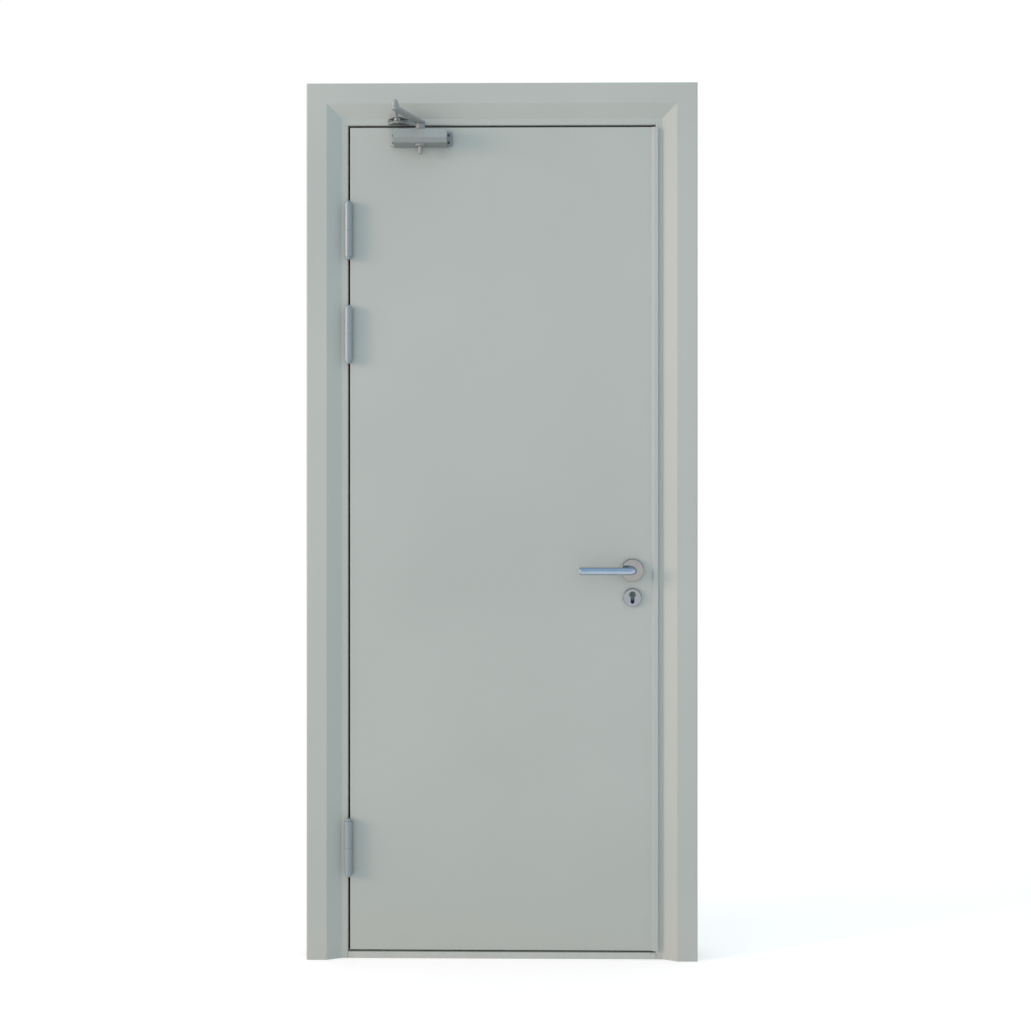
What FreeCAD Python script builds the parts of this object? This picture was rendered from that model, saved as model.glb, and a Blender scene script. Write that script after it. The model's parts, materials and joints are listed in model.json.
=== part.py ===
import FreeCAD, Part
import math
import os

# Steel door set for a plant room: a folded steel frame with a splayed face, a flush steel leaf
# on three lift-off hinges, a lever lock and a surface door closer with two arms.
# X runs across the doorway, hinges at minus X. Y runs into the wall. Z is up.
# The origin is in the middle of the sill's underside, half way through the frame's depth.

V = FreeCAD.Vector

# Frame
frame_width = 1000.0
frame_height = 2243.0
frame_depth = 110.0
frame_sheet = 2.0
frame_bend = 1.5
face_width = 52.0
splay_width = 36.5
splay_depth = 16.0
inner_face_width = 17.0
front_return = 15.0
back_return = 15.0
back_flange_inset = 30.0
stop_width = 18.0
sill_height = 16.0

# Leaf
edge_gap = 5.0
leaf_thickness = 48.0
leaf_sheet = 1.5
leaf_bend = 1.5
stop_gap = 6.0
lip_gap = 5.0
lip_overlap = 5.5
lip_step = 5.5
lock_edge_bevel = 2.5
leaf_back_round = 0.9
edge_channel_flange = 30.0

# Rubber seal on the stop
seal_width = 9.0
seal_inset = 3.0
seal_nip = 0.5
seal_inner_round = 3.3
seal_outer_round = 1.0

# Hinges
hinge_length = 150.0
hinge_radius = 10.25
hinge_cap_length = 7.0
hinge_cap_radius = 7.5
hinge_cap_round = 3.8
hinge_pin_radius = 6.0
hinge_pin_rise = 45.0
hinge_axis_forward = 11.0
hinge_split = 1.0
hinge_flap_depth = 38.0
hinge_end_distance = 265.0
hinge_spacing = 267.0

# Lock and lever
backset = 55.0
lever_height = 997.0
keyhole_drop = 70.0
rose_radius = 29.0
rose_thickness = 8.0
rose_edge = 2.0
keyhole_rose_radius = 23.2
keyhole_rose_thickness = 7.0
lever_radius = 9.75
lever_reach = 137.0
lever_axis_forward = 43.0
lever_corner_radius = 13.0
lever_end_round = 1.5
lever_bearing_radius = 8.0
lever_hole_margin = 2.0
spindle_square = 8.0
spindle_socket = 22.0
cylinder_radius = 8.0
cylinder_leg_width = 9.5
cylinder_height = 31.0
cylinder_recess = 3.0
key_slot_width = 2.0
key_slot_height = 9.0
key_slot_depth = 4.0
forend_width = 20.0
forend_height = 235.0
forend_thickness = 3.0
forend_drop = 33.0
lock_case_depth = 85.0
lock_case_thickness = 16.0
lock_case_height = 165.0
latch_height = 22.0
latch_width = 12.0
bolt_height = 34.0
bolt_drop = 92.0
bolt_length = 30.0
strike_width = 26.0
strike_height = 190.0
strike_hole_margin = 4.0
strike_box_sheet = 1.0
strike_box_depth = 22.0
strike_box_margin = 1.5

# Door closer
closer_length = 135.5
closer_height = 40.0
closer_depth = 50.0
closer_from_hinge = 185.0
closer_below_leaf_top = 12.0
closer_chamfer = 5.0
closer_lower_chamfer = 4.0
closer_ridge_height = 16.5
closer_round = 2.0
lug_length = 13.5
lug_height = 36.0
lug_thickness = 9.0
lug_round = 5.0
screw_across = 143.0
screw_up = 19.0
screw_hole_radius = 2.6
spindle_forward = 25.0
spindle_radius = 7.0
spindle_nub_radius = 5.7
spindle_nub_length = 21.0
spindle_nub_chamfer = 1.2
spindle_boss_radius = 16.0
spindle_boss_foot_radius = 13.5
spindle_boss_drop = 1.5
spindle_boss_height = 7.5
spindle_collar_radius = 11.0
hub_radius = 12.0
hub_height = 12.5
hub_above_body = 3.0
arm_thickness = 6.0
arm_root_width = 24.0
arm_tip_width = 19.0
elbow_forward = 162.0
elbow_toward_hinge = 51.0
elbow_layer_gap = 0.8
elbow_boss_radius = 6.25
elbow_boss_height = 7.0
elbow_cone_height = 5.0
elbow_cone_tip = 1.8
elbow_rivet_radius = 5.5
elbow_rivet_height = 2.5
elbow_rivet_round = 1.2
forearm_thickness = 7.0
forearm_rod_radius = 3.4
forearm_eye_radius = 8.0
forearm_elbow_eye_radius = 9.0
shoe_from_hinge = 126.0
shoe_forward = 27.0
shoe_left_reach = 26.5
shoe_right_reach = 29.0
shoe_plate_extra = 8.0
shoe_plate_thickness = 3.0
shoe_height = 15.6
shoe_ear_thickness = 2.5
shoe_ear_tip = 8.0
shoe_ear_round = 7.2
shoe_pin_radius = 4.0
shoe_pin_head = 6.0
shoe_pin_head_height = 1.0

# Wall anchors
anchor_inset = 40.0
anchor_thickness = 3.0
anchor_height = 60.0
anchor_hole_radius = 5.5
anchor_count = 4
lowest_anchor = 250.0
highest_anchor_below_top = 193.0

# Clearances, how far a cutting shape runs past the face that it cuts, and how near an edge lies
# to a place to count as being there
running = 0.05
seat = 0.3
past = 1.0
near_enough = 0.01

# Places worked out from the sizes above
y_front = -frame_depth / 2
y_back = frame_depth / 2
y_face = y_front + splay_depth
y_leaf_back = y_face + leaf_thickness
y_stop = y_leaf_back + stop_gap
half_width = frame_width / 2
face_to_opening = face_width + splay_width + inner_face_width
half_opening = half_width - face_to_opening
opening_top = frame_height - face_to_opening
profile_reach = face_to_opening + stop_width
leaf_left = -half_opening + edge_gap
leaf_right = half_opening - edge_gap
leaf_bottom = sill_height + edge_gap
leaf_top = opening_top - edge_gap
hinge_x = -half_opening + edge_gap / 2
hinge_y = y_face - hinge_axis_forward
hinge_heights = {
    "top_hinge": leaf_top - hinge_end_distance,
    "second_hinge": leaf_top - hinge_end_distance - hinge_spacing,
    "bottom_hinge": leaf_bottom + hinge_end_distance,
}
lever_x = leaf_right - backset
keyhole_height = lever_height - keyhole_drop
y_leaf_middle = y_face + leaf_thickness / 2
spindle_x = hinge_x + closer_from_hinge
spindle_y = y_face - spindle_forward
closer_top = leaf_top - closer_below_leaf_top
closer_bottom = closer_top - closer_height
hub_bottom = closer_top + hub_above_body
arm_bottom = hub_bottom + hub_height
arm_top = arm_bottom + arm_thickness
forearm_bottom = arm_top + elbow_layer_gap
forearm_top = forearm_bottom + forearm_thickness
elbow_x = spindle_x - elbow_toward_hinge
elbow_y = spindle_y - elbow_forward
shoe_x = hinge_x + shoe_from_hinge
shoe_y = y_face - shoe_forward


def plan(a, b):
    return V(a, b, 0)


def side(a, b):
    return V(0, a, b)


def front(a, b):
    return V(a, 0, b)


def rounded_face(corners, place):
    """A flat face from corners (a, b, radius), each rounded by an arc where it has a radius."""
    edges = []
    starts = []
    ends = []
    arcs = []
    count = len(corners)
    for i in range(count):
        here = V(corners[i][0], corners[i][1], 0)
        before = V(corners[i - 1][0], corners[i - 1][1], 0)
        after = V(corners[(i + 1) % count][0], corners[(i + 1) % count][1], 0)
        radius = corners[i][2]
        if radius <= 0:
            starts.append(here)
            ends.append(here)
            arcs.append(None)
            continue
        to_before = (before - here).normalize()
        to_after = (after - here).normalize()
        half = math.acos(max(-1.0, min(1.0, to_before.dot(to_after)))) / 2
        run = radius / math.tan(half)
        middle = (to_before + to_after).normalize()
        starts.append(here + to_before * run)
        ends.append(here + to_after * run)
        arcs.append(here + middle * (radius / math.sin(half) - radius))
    for i in range(count):
        if arcs[i] is not None:
            points = (starts[i], arcs[i], ends[i])
            edges.append(Part.Arc(*[place(p.x, p.y) for p in points]).toShape())
        following = starts[(i + 1) % count]
        if (following - ends[i]).Length > 1e-6:
            first = place(ends[i].x, ends[i].y)
            last = place(following.x, following.y)
            edges.append(Part.LineSegment(first, last).toShape())
    return Part.Face(Part.Wire(edges))


def folded(path, sheet, bend):
    """Corners of a folded sheet whose outer face follows the path, with the sheet on its left."""
    directions = []
    for start, end in zip(path[:-1], path[1:]):
        directions.append((V(end[0], end[1], 0) - V(start[0], start[1], 0)).normalize())
    outer = []
    inner = []
    for i, point in enumerate(path):
        before = directions[max(i - 1, 0)]
        after = directions[min(i, len(directions) - 1)]
        left_before = V(-before.y, before.x, 0)
        left_after = V(-after.y, after.x, 0)
        shift = (left_before + left_after) * (sheet / (1 + left_before.dot(left_after)))
        turn = before.cross(after).z
        if abs(turn) < 1e-6:
            radii = (0.0, 0.0)
        elif turn > 0:
            radii = (bend + sheet, bend)
        else:
            radii = (bend, bend + sheet)
        outer.append((point[0], point[1], radii[0]))
        inner.append((point[0] + shift.x, point[1] + shift.y, radii[1]))
    return outer + inner[::-1]


def prism(corners, place, along, start):
    """The rounded outline pushed along a vector, from a starting offset."""
    solid = rounded_face(corners, place).extrude(along)
    solid.translate(start)
    return solid


def block(x0, x1, y0, y1, z0, z1):
    return Part.makeBox(x1 - x0, y1 - y0, z1 - z0, V(x0, y0, z0))


def post(radius, x, y, z0, z1):
    """An upright round bar."""
    return Part.makeCylinder(radius, z1 - z0, V(x, y, z0))


def bar_through(radius, x, z, y0, y1):
    """A round bar that runs through the leaf."""
    return Part.makeCylinder(radius, y1 - y0, V(x, y0, z), V(0, 1, 0))


def edges_at(shape, axis, place):
    """The edges that lie flat at one place along an axis."""
    found = []
    for edge in shape.Edges:
        box = edge.BoundBox
        low = getattr(box, axis + "Min")
        high = getattr(box, axis + "Max")
        if abs(low - place) < near_enough and abs(high - place) < near_enough:
            found.append(edge)
    return found


def one_solid(shape):
    """The single solid of a finished piece, with split faces joined up."""
    shape = shape.removeSplitter()
    if len(shape.Solids) == 1:
        return shape.Solids[0]
    return shape


def mirrored(shape):
    """The same shape on the other side of the doorway."""
    return shape.mirror(V(0, 0, 0), V(1, 0, 0))


def frame_path():
    """The visible outline of the frame profile: depth against distance in from the outer edge."""
    return [
        (0, y_front + front_return),
        (0, y_front),
        (face_width, y_front),
        (face_width + splay_width, y_face),
        (face_to_opening, y_face),
        (face_to_opening, y_stop),
        (profile_reach, y_stop),
        (profile_reach, y_back),
        (back_flange_inset, y_back),
        (back_flange_inset, y_back - back_return),
    ]


def mitre_wedge(corners):
    """A thick slab over the front view outline of one frame member."""
    points = [(a, b, 0) for a, b in corners]
    return prism(points, front, V(0, 2 * frame_depth, 0), V(0, -frame_depth, 0))


def plain_jamb():
    path = [(a - half_width, b) for a, b in frame_path()]
    profile = folded(path, frame_sheet, frame_bend)
    bar = prism(profile, plan, V(0, 0, frame_height), V(0, 0, 0))
    wedge = mitre_wedge([
        (-half_width, 0),
        (-half_width + profile_reach, 0),
        (-half_width + profile_reach, frame_height - profile_reach),
        (-half_width, frame_height),
    ])
    return bar.common(wedge)


def hinge_jamb():
    """The left upright, with a slot in its rebate for each hinge flap."""
    jamb = plain_jamb()
    for height in hinge_heights.values():
        low, high = frame_half_span(height)
        slot = block(
            -half_opening - frame_sheet - seat,
            -half_opening + past,
            y_face - past,
            y_face + hinge_flap_depth + seat,
            low - seat,
            high + seat,
        )
        jamb = jamb.cut(slot)
    return one_solid(jamb)


def lock_jamb():
    """The right upright, with a slot for the strike plate."""
    jamb = mirrored(plain_jamb())
    slot = block(
        half_opening - past,
        half_opening + frame_sheet + past,
        y_leaf_middle - strike_width / 2 - seat,
        y_leaf_middle + strike_width / 2 + seat,
        strike_bottom() - seat,
        strike_bottom() + strike_height + seat,
    )
    return one_solid(jamb.cut(slot))


def frame_head():
    path = [(b, frame_height - a) for a, b in frame_path()]
    profile = folded(path, frame_sheet, frame_bend)
    bar = prism(profile, side, V(frame_width, 0, 0), V(-half_width, 0, 0))
    wedge = mitre_wedge([
        (-half_width, frame_height),
        (-half_width + profile_reach, frame_height - profile_reach),
        (half_width - profile_reach, frame_height - profile_reach),
        (half_width, frame_height),
    ])
    return one_solid(bar.common(wedge))


def sill():
    """A closed hollow threshold whose rear part rises to the stop."""
    rise = sill_height + stop_width
    outer = [
        (y_face, 0, 0),
        (y_face, sill_height, frame_bend + frame_sheet),
        (y_stop, sill_height, frame_bend),
        (y_stop, rise, frame_bend + frame_sheet),
        (y_back, rise, frame_bend + frame_sheet),
        (y_back, 0, 0),
    ]
    inner = [
        (y_face + frame_sheet, frame_sheet, 0),
        (y_face + frame_sheet, sill_height - frame_sheet, frame_bend),
        (y_stop + frame_sheet, sill_height - frame_sheet, frame_bend + frame_sheet),
        (y_stop + frame_sheet, rise - frame_sheet, frame_bend),
        (y_back - frame_sheet, rise - frame_sheet, frame_bend),
        (y_back - frame_sheet, frame_sheet, 0),
    ]
    along = V(2 * half_opening, 0, 0)
    bar = prism(outer, side, along, V(-half_opening, 0, 0))
    bar = bar.cut(prism(inner, side, along, V(-half_opening, 0, 0)))
    for sign in (-1, 1):
        near = sign * (half_opening - stop_width)
        far = sign * (half_opening + past)
        notch = block(min(near, far), max(near, far), y_stop, y_back + past, -past, rise + past)
        bar = bar.cut(notch)
    return one_solid(bar)


def seal_profile():
    """The seal's section: distance in from the opening's edge against depth."""
    height = stop_gap - seal_nip
    return [
        (seal_inset, y_stop, 0),
        (seal_inset + seal_width, y_stop, 0),
        (seal_inset + seal_width, y_stop - height, seal_inner_round),
        (seal_inset, y_stop - height, seal_outer_round),
    ]


def upright_seal():
    corners = [(a - half_opening, b, r) for a, b, r in seal_profile()]
    low = sill_height + seal_inset + seal_width
    high = opening_top - seal_inset - seal_width
    return prism(corners, plan, V(0, 0, high - low), V(0, 0, low))


def level_seal(edge, sign):
    """The seal along the head or the sill, between the same ends as the stop."""
    corners = [(b, edge + sign * a, r) for a, b, r in seal_profile()]
    length = 2 * (half_opening - seal_inset)
    return prism(corners, side, V(length, 0, 0), V(-length / 2, 0, 0))


def wall_anchors():
    """Four drilled plates inside the hinge jamb, from its front face to its back flange."""
    plates = []
    left = -half_width + anchor_inset
    highest = frame_height - highest_anchor_below_top
    for i in range(anchor_count):
        middle = lowest_anchor + (highest - lowest_anchor) * i / (anchor_count - 1)
        plate = block(
            left,
            left + anchor_thickness,
            y_front + frame_sheet,
            y_back - frame_sheet,
            middle - anchor_height / 2,
            middle + anchor_height / 2,
        )
        hole = Part.makeCylinder(
            anchor_hole_radius, anchor_thickness + 2 * past, V(left - past, 0, middle), V(1, 0, 0)
        )
        plates.append(plate.cut(hole))
    return Part.makeCompound(plates)


def frame_half_span(height):
    """Lowest and highest point of a hinge's lower knuckle."""
    low = height - hinge_length / 2 + hinge_cap_length
    return low, height - hinge_split / 2


def leaf_half_span(height):
    """Lowest and highest point of a hinge's upper knuckle."""
    high = height + hinge_length / 2 - hinge_cap_length
    return height + hinge_split / 2, high


def hinge_cap(end, sign):
    """The stepped and rounded end of a knuckle."""
    low = min(end, end + sign * hinge_cap_length)
    cap = post(hinge_cap_radius, hinge_x, hinge_y, low, low + hinge_cap_length)
    tip = end + sign * hinge_cap_length
    return cap.makeFillet(hinge_cap_round, edges_at(cap, "Z", tip))


def hinge_frame_half(height):
    """Lower knuckle, with the pin, and the flap let into the jamb's rebate."""
    low, high = frame_half_span(height)
    knuckle = post(hinge_radius, hinge_x, hinge_y, low, high)
    flap = block(
        -half_opening - frame_sheet,
        -half_opening,
        hinge_y,
        y_face + hinge_flap_depth,
        low,
        high,
    )
    pin = post(hinge_pin_radius, hinge_x, hinge_y, high, height + hinge_pin_rise)
    return one_solid(knuckle.fuse([flap, pin, hinge_cap(low, -1)]))


def hinge_leaf_half(height):
    """Upper knuckle, bored for the pin, and the flap let into the leaf's edge."""
    low, high = leaf_half_span(height)
    knuckle = post(hinge_radius, hinge_x, hinge_y, low, high)
    flap = block(
        leaf_left,
        leaf_left + leaf_sheet,
        hinge_y,
        y_face + hinge_flap_depth,
        low,
        high,
    )
    bore = post(hinge_pin_radius + running, hinge_x, hinge_y, low - past,
                height + hinge_pin_rise + past)
    return one_solid(knuckle.fuse([flap, hinge_cap(high, 1)]).cut(bore))


def lock_edge(depth):
    """Where the bevelled lock edge lies at a depth behind the leaf's face."""
    return leaf_right - lock_edge_bevel * (depth - y_face) / leaf_thickness


def leaf_tray(x0, x1, inset, radius):
    """The leaf's outer block drawn in by an inset, with its front rim rounded."""
    solid = block(
        x0 + inset,
        x1,
        y_face + inset,
        y_leaf_back - leaf_sheet,
        leaf_bottom + inset,
        leaf_top - inset,
    )
    front_edges = edges_at(solid, "Y", y_face + inset)
    rim = [edge for edge in front_edges if edge.BoundBox.XMin < x1 - near_enough]
    return solid.makeFillet(radius, rim)


def leaf_front_skin():
    """Front sheet folded back on three sides, with a joggled lip over the lock jamb."""
    step_start = leaf_right - lip_step
    lip_front = y_face - lip_gap - leaf_sheet
    tray = leaf_tray(leaf_left, step_start, 0, leaf_bend + leaf_sheet)
    hollow = leaf_tray(leaf_left, step_start + past, leaf_sheet, leaf_bend)
    hollow = hollow.fuse(hollow.translated(V(0, leaf_sheet + past, 0)))
    skin = tray.cut(hollow)
    front_line = y_face + leaf_sheet
    back_line = y_leaf_back - leaf_sheet
    end_flange = [
        (step_start - past, front_line, 0),
        (lock_edge(front_line), front_line, 0),
        (lock_edge(back_line), back_line, 0),
        (step_start - past, back_line, 0),
    ]
    for z0 in (leaf_bottom, leaf_top - leaf_sheet):
        skin = skin.fuse(prism(end_flange, plan, V(0, 0, leaf_sheet), V(0, 0, z0)))
    path = [
        (step_start - leaf_bend - leaf_sheet, y_face),
        (step_start, y_face),
        (leaf_right, lip_front),
        (half_opening + lip_overlap, lip_front),
    ]
    lip = prism(
        folded(path, leaf_sheet, leaf_bend),
        plan,
        V(0, 0, leaf_top - leaf_bottom - 2 * leaf_sheet),
        V(0, 0, leaf_bottom + leaf_sheet),
    )
    skin = skin.fuse(lip)
    for height in hinge_heights.values():
        low, high = leaf_half_span(height)
        slot = block(
            leaf_left - past,
            leaf_left + leaf_sheet,
            y_face - past,
            y_face + hinge_flap_depth + seat,
            low - seat,
            high + seat,
        )
        skin = skin.cut(slot)
    return one_solid(skin.cut(lock_holes()))


def leaf_back_skin():
    """Back sheet, which closes the tray."""
    sheet = block(leaf_left, lock_edge(y_leaf_back), y_leaf_back - leaf_sheet, y_leaf_back,
                  leaf_bottom, leaf_top)
    sheet = sheet.makeFillet(leaf_back_round, edges_at(sheet, "Y", y_leaf_back))
    return one_solid(sheet.cut(lock_holes()))


def lock_edge_channel():
    """Folded channel that closes the bevelled lock edge, slotted for the lock's forend."""
    front_line = y_face + leaf_sheet
    back_line = y_leaf_back - leaf_sheet
    path = [
        (lock_edge(front_line) - edge_channel_flange, front_line),
        (lock_edge(front_line), front_line),
        (lock_edge(back_line), back_line),
        (lock_edge(back_line) - edge_channel_flange, back_line),
    ]
    end = leaf_sheet + leaf_bend
    channel = prism(folded(path, leaf_sheet, leaf_bend), plan,
                    V(0, 0, leaf_top - leaf_bottom - 2 * end), V(0, 0, leaf_bottom + end))
    return one_solid(channel.cut(forend_plate(seat)).cut(lock_holes()))


def forend_plate(extra):
    """The lock's forend, or the slot for it where extra is its clearance."""
    y0 = y_leaf_middle - forend_width / 2 - extra
    y1 = y_leaf_middle + forend_width / 2 + extra
    back = forend_thickness + extra
    proud = past if extra > 0 else 0
    corners = [
        (lock_edge(y0) + proud, y0, 0),
        (lock_edge(y1) + proud, y1, 0),
        (lock_edge(y1) - back, y1, 0),
        (lock_edge(y0) - back, y0, 0),
    ]
    low = lever_height - forend_drop - forend_height / 2 - extra
    return prism(corners, plan, V(0, 0, forend_height + 2 * extra), V(0, 0, low))


def bolt_block(height, tall, extra, tip):
    """A latch or bolt behind the forend, drawn back until its end is flush."""
    middle = lock_edge(y_leaf_middle)
    wide = latch_width / 2 + extra
    y0 = y_leaf_middle - wide
    y1 = y_leaf_middle + wide
    corners = [
        (lock_edge(y0) + tip, y0, 0),
        (lock_edge(y1) + tip, y1, 0),
        (middle - bolt_length, y1, 0),
        (middle - bolt_length, y0, 0),
    ]
    return prism(corners, plan, V(0, 0, tall + 2 * extra), V(0, 0, height - tall / 2 - extra))


def lock_forend():
    holes = bolt_block(lever_height, latch_height, seat, past)
    holes = holes.fuse(bolt_block(lever_height - bolt_drop, bolt_height, seat, past))
    return one_solid(forend_plate(0).cut(holes))


def latch_bolt():
    return one_solid(bolt_block(lever_height, latch_height, 0, 0))


def dead_bolt():
    return one_solid(bolt_block(lever_height - bolt_drop, bolt_height, 0, 0))


def keyhole_outline(extra):
    """The cylinder's outline about its round part: a circle with a rounded leg below."""
    radius = cylinder_radius + extra
    leg = cylinder_leg_width / 2 + extra
    low = cylinder_radius - cylinder_height - extra
    drop = -math.sqrt(radius * radius - leg * leg)
    points = [
        Part.Arc(V(-leg, 0, drop), V(0, 0, radius), V(leg, 0, drop)).toShape(),
        Part.LineSegment(V(leg, 0, drop), V(leg, 0, low + leg)).toShape(),
        Part.Arc(V(leg, 0, low + leg), V(0, 0, low), V(-leg, 0, low + leg)).toShape(),
        Part.LineSegment(V(-leg, 0, low + leg), V(-leg, 0, drop)).toShape(),
    ]
    return Part.Face(Part.Wire(points))


def keyhole_bar(extra, y0, y1):
    """The keyhole outline as a bar through the leaf."""
    centre = keyhole_height + (cylinder_height / 2 - cylinder_radius)
    bar = keyhole_outline(extra).extrude(V(0, y1 - y0, 0))
    bar.translate(V(lever_x, y0, centre))
    return bar


def lock_holes():
    """What is cut through skins and core for the lever's spindle and the cylinder."""
    y0 = y_face - past
    y1 = y_leaf_back + past
    hole = bar_through(lever_bearing_radius + lever_hole_margin, lever_x, lever_height, y0, y1)
    return hole.fuse(keyhole_bar(seat, y0, y1))


def lock_case():
    """The mortise lock's closed case, behind the forend."""
    x1 = lock_edge(y_leaf_middle + lock_case_thickness / 2) - forend_thickness
    low = lever_height - forend_drop - lock_case_height / 2
    case = block(
        x1 - lock_case_depth,
        x1,
        y_leaf_middle - lock_case_thickness / 2,
        y_leaf_middle + lock_case_thickness / 2,
        low,
        low + lock_case_height,
    )
    case = case.cut(bolt_block(lever_height, latch_height, seat, past))
    case = case.cut(bolt_block(lever_height - bolt_drop, bolt_height, seat, past))
    return one_solid(case.cut(lock_holes()).cut(forend_plate(0)))


def leaf_core(case, channel):
    """The mineral wool slab between the skins."""
    slab = block(
        leaf_left + leaf_sheet,
        lock_edge(y_leaf_back) - leaf_sheet - forend_thickness,
        y_face + leaf_sheet,
        y_leaf_back - leaf_sheet,
        leaf_bottom + leaf_sheet,
        leaf_top - leaf_sheet,
    )
    corner = leaf_tray(leaf_left, leaf_right, leaf_sheet, leaf_bend)
    slab = slab.common(corner)
    pocket = case.BoundBox
    slab = slab.cut(block(pocket.XMin, leaf_right, pocket.YMin, pocket.YMax,
                          pocket.ZMin, pocket.ZMax))
    slab = slab.cut(channel).cut(forend_plate(seat)).cut(lock_holes())
    return one_solid(slab)


def round_plate(radius, thickness, x, z, face, sign):
    """A turned rose seated on a face of the leaf, with its outer rim rounded."""
    y0 = min(face, face + sign * thickness)
    plate = bar_through(radius, x, z, y0, y0 + thickness)
    return plate.makeFillet(rose_edge, edges_at(plate, "Y", face + sign * thickness))


def lever_rose(face, sign):
    plate = round_plate(rose_radius, rose_thickness, lever_x, lever_height, face, sign)
    reach = rose_thickness + past
    bore = bar_through(lever_bearing_radius + running, lever_x, lever_height,
                       y_face - reach, y_leaf_back + reach)
    return one_solid(plate.cut(bore))


def keyhole_rose(face, sign):
    plate = round_plate(keyhole_rose_radius, keyhole_rose_thickness, lever_x, keyhole_height,
                        face, sign)
    reach = keyhole_rose_thickness + past
    return one_solid(plate.cut(keyhole_bar(seat, y_face - reach, y_leaf_back + reach)))


def lock_cylinder():
    """Profile cylinder, set back a little in both keyhole roses, with a key slot each side."""
    proud = keyhole_rose_thickness - cylinder_recess
    bar = keyhole_bar(0, y_face - proud, y_leaf_back + proud)
    centre = keyhole_height + (cylinder_height / 2 - cylinder_radius)
    for y0 in (y_face - proud - past, y_leaf_back + proud - key_slot_depth):
        slot = block(
            lever_x - key_slot_width / 2,
            lever_x + key_slot_width / 2,
            y0,
            y0 + key_slot_depth + past,
            centre - key_slot_height / 2,
            centre + key_slot_height / 2,
        )
        bar = bar.cut(slot)
    return one_solid(bar)


def lever(face, sign):
    """A bent round bar: out of the rose, round a corner, then level towards the hinges."""
    axis_y = face + sign * lever_axis_forward
    foot_y = face + sign * rose_thickness
    corner = lever_corner_radius
    start = V(lever_x, foot_y, lever_height)
    bend_start = V(lever_x, axis_y - sign * corner, lever_height)
    slant = corner * (1 - math.sqrt(0.5))
    bend_middle = V(lever_x - slant, axis_y - sign * slant, lever_height)
    bend_end = V(lever_x - corner, axis_y, lever_height)
    end = V(lever_x - lever_reach, axis_y, lever_height)
    spine = Part.Wire([
        Part.LineSegment(start, bend_start).toShape(),
        Part.Arc(bend_start, bend_middle, bend_end).toShape(),
        Part.LineSegment(bend_end, end).toShape(),
    ])
    ring = Part.Wire(Part.Circle(start, V(0, sign, 0), lever_radius).toShape())
    bar = spine.makePipeShell([ring], True, False)
    bar = bar.makeFillet(lever_end_round, edges_at(bar, "X", end.x))
    inner = face - sign * leaf_sheet
    bearing = bar_through(lever_bearing_radius, lever_x, lever_height,
                          min(inner, foot_y), max(inner, foot_y))
    bar = bar.fuse(bearing)
    half = spindle_square / 2
    deep = foot_y + sign * spindle_socket
    socket = block(lever_x - half, lever_x + half, min(inner - sign, deep), max(inner - sign, deep),
                   lever_height - half, lever_height + half)
    return one_solid(bar.cut(socket))


def lever_spindle():
    reach = rose_thickness + spindle_socket
    half = spindle_square / 2
    return block(lever_x - half, lever_x + half, y_face - reach, y_leaf_back + reach,
                 lever_height - half, lever_height + half)


def strike_bottom():
    return lever_height - bolt_drop / 2 - strike_height / 2


def strike_plate():
    """Plate let flush into the lock jamb, with a hole for the latch and one for the bolt."""
    plate = block(
        half_opening,
        half_opening + frame_sheet,
        y_leaf_middle - strike_width / 2,
        y_leaf_middle + strike_width / 2,
        strike_bottom(),
        strike_bottom() + strike_height,
    )
    for height, tall in ((lever_height, latch_height), (lever_height - bolt_drop, bolt_height)):
        wide = latch_width / 2 + strike_hole_margin
        high = tall / 2 + strike_hole_margin
        plate = plate.cut(block(
            half_opening - past,
            half_opening + frame_sheet + past,
            y_leaf_middle - wide,
            y_leaf_middle + wide,
            height - high,
            height + high,
        ))
    return one_solid(plate)


def strike_box():
    """Open box welded behind the strike plate, which keeps mortar out of the bolt pockets."""
    front_x = half_opening + frame_sheet
    wide = strike_width / 2 + seat + strike_box_margin
    low = strike_bottom() - seat - strike_box_margin
    high = strike_bottom() + strike_height + seat + strike_box_margin
    wall = strike_box_sheet
    outer = block(
        front_x,
        front_x + strike_box_depth,
        y_leaf_middle - wide - wall,
        y_leaf_middle + wide + wall,
        low - wall,
        high + wall,
    )
    inner = block(
        front_x - past,
        front_x + strike_box_depth - wall,
        y_leaf_middle - wide,
        y_leaf_middle + wide,
        low,
        high,
    )
    return one_solid(outer.cut(inner))


def closer_body():
    """Cast body with a shallow ridge along its front, bored for the spindle."""
    front_edge = y_face - closer_depth
    corners = [
        (y_face, closer_bottom, 0),
        (y_face, closer_top, 0),
        (front_edge + closer_chamfer, closer_top, closer_round),
        (front_edge, closer_bottom + closer_ridge_height, closer_round),
        (front_edge + closer_chamfer, closer_bottom + closer_lower_chamfer, closer_round),
        (y_face - closer_chamfer, closer_bottom, closer_round),
    ]
    body = prism(corners, side, V(closer_length, 0, 0), V(spindle_x - closer_length / 2, 0, 0))
    boss_bottom = closer_bottom - spindle_boss_drop
    boss = Part.makeCone(spindle_boss_foot_radius, spindle_boss_radius, spindle_boss_height,
                         V(spindle_x, spindle_y, boss_bottom))
    collar = post(spindle_collar_radius, spindle_x, spindle_y, closer_top - past, hub_bottom - seat)
    body = body.fuse([boss, collar])
    bore = post(spindle_radius + running, spindle_x, spindle_y, boss_bottom - past, hub_bottom)
    return one_solid(body.cut(bore))


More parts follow.
